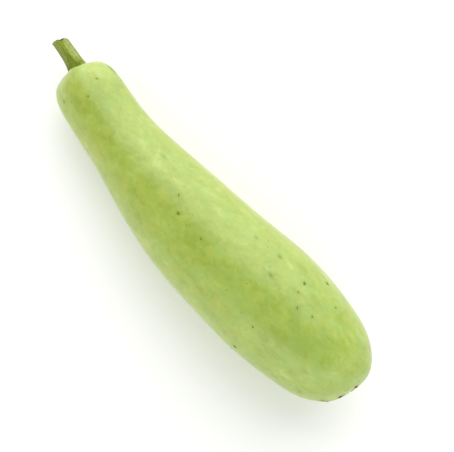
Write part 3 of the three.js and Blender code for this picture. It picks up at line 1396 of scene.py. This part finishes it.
@dataclass
class Down:
    """The fine hairs on the stalk and round its foot. Sizes are in millimetres."""

    stalk: Stalk
    on_stalk: int = 1500
    first_share: float = 0.2
    last_share: float = 0.995
    on_shoulder: int = 900
    nearest: float = 12
    furthest: float = 52
    shortest: float = 0.3
    longest: float = 0.8
    lean: float = 0.35
    waver: float = 0.25
    thickness: float = 0.035
    rooted: float = 0.06
    seed: int = 23
    finish: DownFinish = DownFinish()

    def stalk_roots(self, draw: np.random.Generator) -> tuple[Array, Array, Array]:
        """Random places on the stalk's side.

        Args:
            draw: The source of the random draws.

        Returns:
            The points, and the ways outwards and towards the stalk's tip there.
        """
        ahead_step = 0.004
        share = draw.uniform(self.first_share, self.last_share, self.on_stalk)
        angle = draw.uniform(0, FULL_TURN, self.on_stalk)
        full = np.ones(self.on_stalk)
        points = self.stalk.surface(share, full, angle)
        ahead = unit(self.stalk.surface(share + ahead_step, full, angle) - points)
        round_it = self.stalk.surface(share, full, angle + ANGLE_STEP) - points
        return points, unit(np.cross(round_it, ahead)), ahead

    def shoulder_roots(self, draw: np.random.Generator) -> tuple[Array, Array, Array]:
        """Random places round the stalk's foot, fewer further out.

        Args:
            draw: The source of the random draws.

        Returns:
            The points, and the ways outwards and along the fruit there.
        """
        reach = draw.uniform(self.nearest, self.furthest, self.on_shoulder)
        angle = draw.uniform(0, FULL_TURN, self.on_shoulder)
        points, axes = self.stalk.fruit.stand(reach, angle)
        return points, axes[:, 2], axes[:, 0]

    def build(self) -> None:
        """Makes the hairs as one piece.

        Each is a thin pyramid on three sunk root points round its middle line. It stands outwards,
        leans forwards by a third and wavers at random, and its length is drawn evenly.
        """
        draw = np.random.default_rng(self.seed)
        roots = zip(self.stalk_roots(draw), self.shoulder_roots(draw), strict=True)
        points, outwards, ahead = (np.concatenate(pair) for pair in roots)
        count = len(points)
        way = unit(outwards + self.lean * ahead + draw.normal(0, self.waver, (count, 3)))
        length = draw.uniform(self.shortest, self.longest, (count, 1))
        first = unit(np.cross(way, ahead))
        second = np.cross(way, first)
        corners = [
            points
            - self.rooted * way
            + self.thickness * (math.cos(turn) * first + math.sin(turn) * second)
            for turn in (0, FULL_TURN / 3, 2 * FULL_TURN / 3)
        ]
        tips = points + length * way
        hairs = np.stack([*corners, tips], axis=1).reshape(-1, 3)
        starts = 4 * np.arange(count)[:, None]
        sides = np.array([(0, 1, 3), (1, 2, 3), (2, 0, 3), (0, 2, 1)])
        faces = (starts[:, None] + sides).reshape(-1, 3).tolist()
        tip = np.tile([0.0, 0.0, 0.0, 1.0], count)
        make_piece("down", hairs, faces, self.finish.material(), {"tip": tip})


@dataclass(frozen=True)
class Softbox:
    """A large soft light that faces the gourd, with its sizes in metres.

    Its azimuth is in degrees from the +Y side towards +X, and its elevation from the floor.
    """

    name: str
    azimuth: float
    elevation: float
    distance: float
    width: float
    height: float
    watts: float

    def hang(self) -> None:
        """Hangs the light."""
        data = bpy.data.lights.new(self.name, "AREA")
        data.shape = "RECTANGLE"
        data.size = self.width
        data.size_y = self.height
        data.energy = self.watts
        turn, rise = math.radians(self.azimuth), math.radians(self.elevation)
        level = math.cos(rise)
        away = Vector((math.sin(turn) * level, math.cos(turn) * level, math.sin(rise)))
        light = bpy.data.objects.new(self.name, data)
        light.location = away * self.distance
        light.rotation_euler = (-away).to_track_quat("-Z", "Y").to_euler()
        light.visible_camera = False
        bpy.context.scene.collection.objects.link(light)


@dataclass(frozen=True)
class Studio:
    """The camera at the photograph's angle, a pale floor and soft light. Sizes are in metres."""

    azimuth: float = math.radians(49.15)
    elevation: float = math.radians(80)
    distance: float = 0.8124
    target: Triple = (0.0244, 0.0149, 0.040)
    lens: float = 85
    sensor: float = 36
    nearest_seen: float = 0.01
    furthest_seen: float = 50
    floor_half: float = 40
    floor_drop: float = 0.0002
    floor_white: float = 0.88
    floor_roughness: float = 0.8
    floor_glow: float = 0.18
    world_strength: float = 0.60
    softboxes: tuple[Softbox, ...] = (
        Softbox("key_softbox", -35, 36, 7.2, 11.4, 10.8, 648),
        Softbox("end_softbox", 105, 20, 8.4, 6.0, 3.6, 122),
        Softbox("fill_softbox", 160, 18, 8.4, 9.0, 4.8, 180),
    )

    def place_camera(self) -> None:
        """Sets the camera on its target from its azimuth and elevation."""
        level = math.cos(self.elevation)
        back = Vector((math.sin(self.azimuth) * level, -math.cos(self.azimuth) * level, 0))
        back.z = math.sin(self.elevation)
        data = bpy.data.cameras.new("camera")
        data.lens = self.lens
        data.sensor_width = self.sensor
        data.clip_start = self.nearest_seen
        data.clip_end = self.furthest_seen
        camera = bpy.data.objects.new("camera", data)
        camera.location = Vector(self.target) + back * self.distance
        camera.rotation_euler = (-back).to_track_quat("-Z", "Y").to_euler()
        bpy.context.scene.collection.objects.link(camera)
        bpy.context.scene.camera = camera

    def lay_floor(self) -> None:
        """Lays a large pale floor just under the gourd."""
        half, drop = self.floor_half, -self.floor_drop
        corners = [(x * half, y * half, drop) for x, y in ((-1, -1), (1, -1), (1, 1), (-1, 1))]
        mesh = bpy.data.meshes.new("floor")
        mesh.from_pydata(corners, [], [(0, 1, 2, 3)])
        graph = Graph("white_floor")
        white = (self.floor_white,) * 3
        finish = {
            "Base Color": white,
            "Roughness": self.floor_roughness,
            "Emission Color": white,
            "Emission Strength": self.floor_glow,
        }
        mesh.materials.append(graph.paint(finish))
        floor = bpy.data.objects.new("floor", mesh)
        bpy.context.scene.collection.objects.link(floor)

    def light_world(self) -> None:
        """Lights everything evenly from a white surround, and shows colours as they are."""
        world = bpy.data.worlds.new("white_surround")
        world.use_nodes = True
        background = world.node_tree.nodes["Background"]
        background.inputs["Color"].default_value = (1.0, 1.0, 1.0, 1.0)
        background.inputs["Strength"].default_value = self.world_strength
        bpy.context.scene.world = world
        bpy.context.scene.view_settings.view_transform = "Standard"

    def build(self) -> None:
        """Makes the whole studio."""
        self.place_camera()
        self.lay_floor()
        for softbox in self.softboxes:
            softbox.hang()
        self.light_world()


def main() -> None:
    """Builds the studio and the gourd's pieces in order."""
    logging.basicConfig(level=logging.INFO, format="%(name)s: %(message)s")
    Studio().build()
    fruit = Fruit()
    fruit.build()
    Scabs(fruit).build()
    stalk = Stalk(fruit)
    stalk.build()
    Down(stalk).build()


if __name__ == "__main__":
    main()
